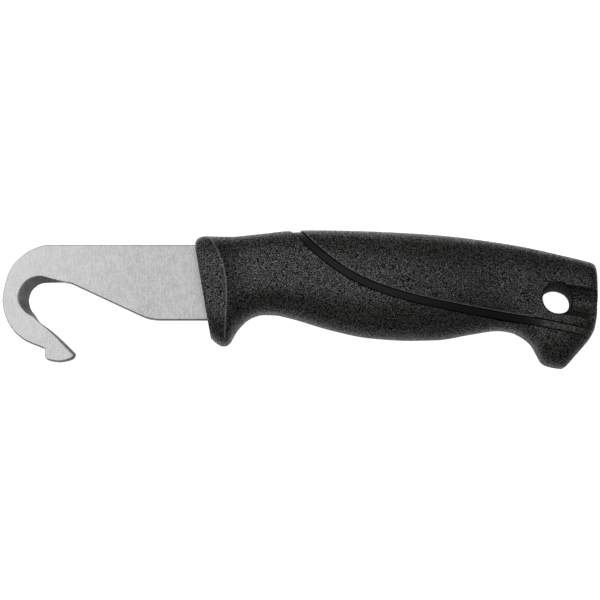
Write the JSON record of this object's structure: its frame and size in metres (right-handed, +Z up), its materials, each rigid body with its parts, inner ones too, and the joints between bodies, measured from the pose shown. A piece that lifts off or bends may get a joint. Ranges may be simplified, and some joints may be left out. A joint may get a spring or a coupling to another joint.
{
  "type": "hook knife",
  "caption": "Fixed-blade hook knife: flat stainless blade curled into a hook with a sharpened inner edge, in a black two-shot moulded handle with guard, pommel and hang hole.",
  "frame": {"origin": "centre of the bounding box in plan, on the surface the knife lies on when it lies flat on its side", "axes": "+X along the knife from the hook towards the pommel, +Y towards the blade's spine, +Z up through the thickness; the knife is symmetric about its mid-plane at Z = 11 mm"},
  "size_m": [0.178, 0.0416, 0.022],
  "materials": {
    "blade_steel": "fine brushed across the blade, satin, brighter polished edges",
    "core_plastic": "smooth satin black",
    "grip_rubber": "coarse spark-eroded grain, matte black"
  },
  "bodies": {
    "root": {"blade": "blade_steel", "handle_core": "core_plastic", "front_grip": "grip_rubber", "back_grip": "grip_rubber"}
  },
  "joints": []
}
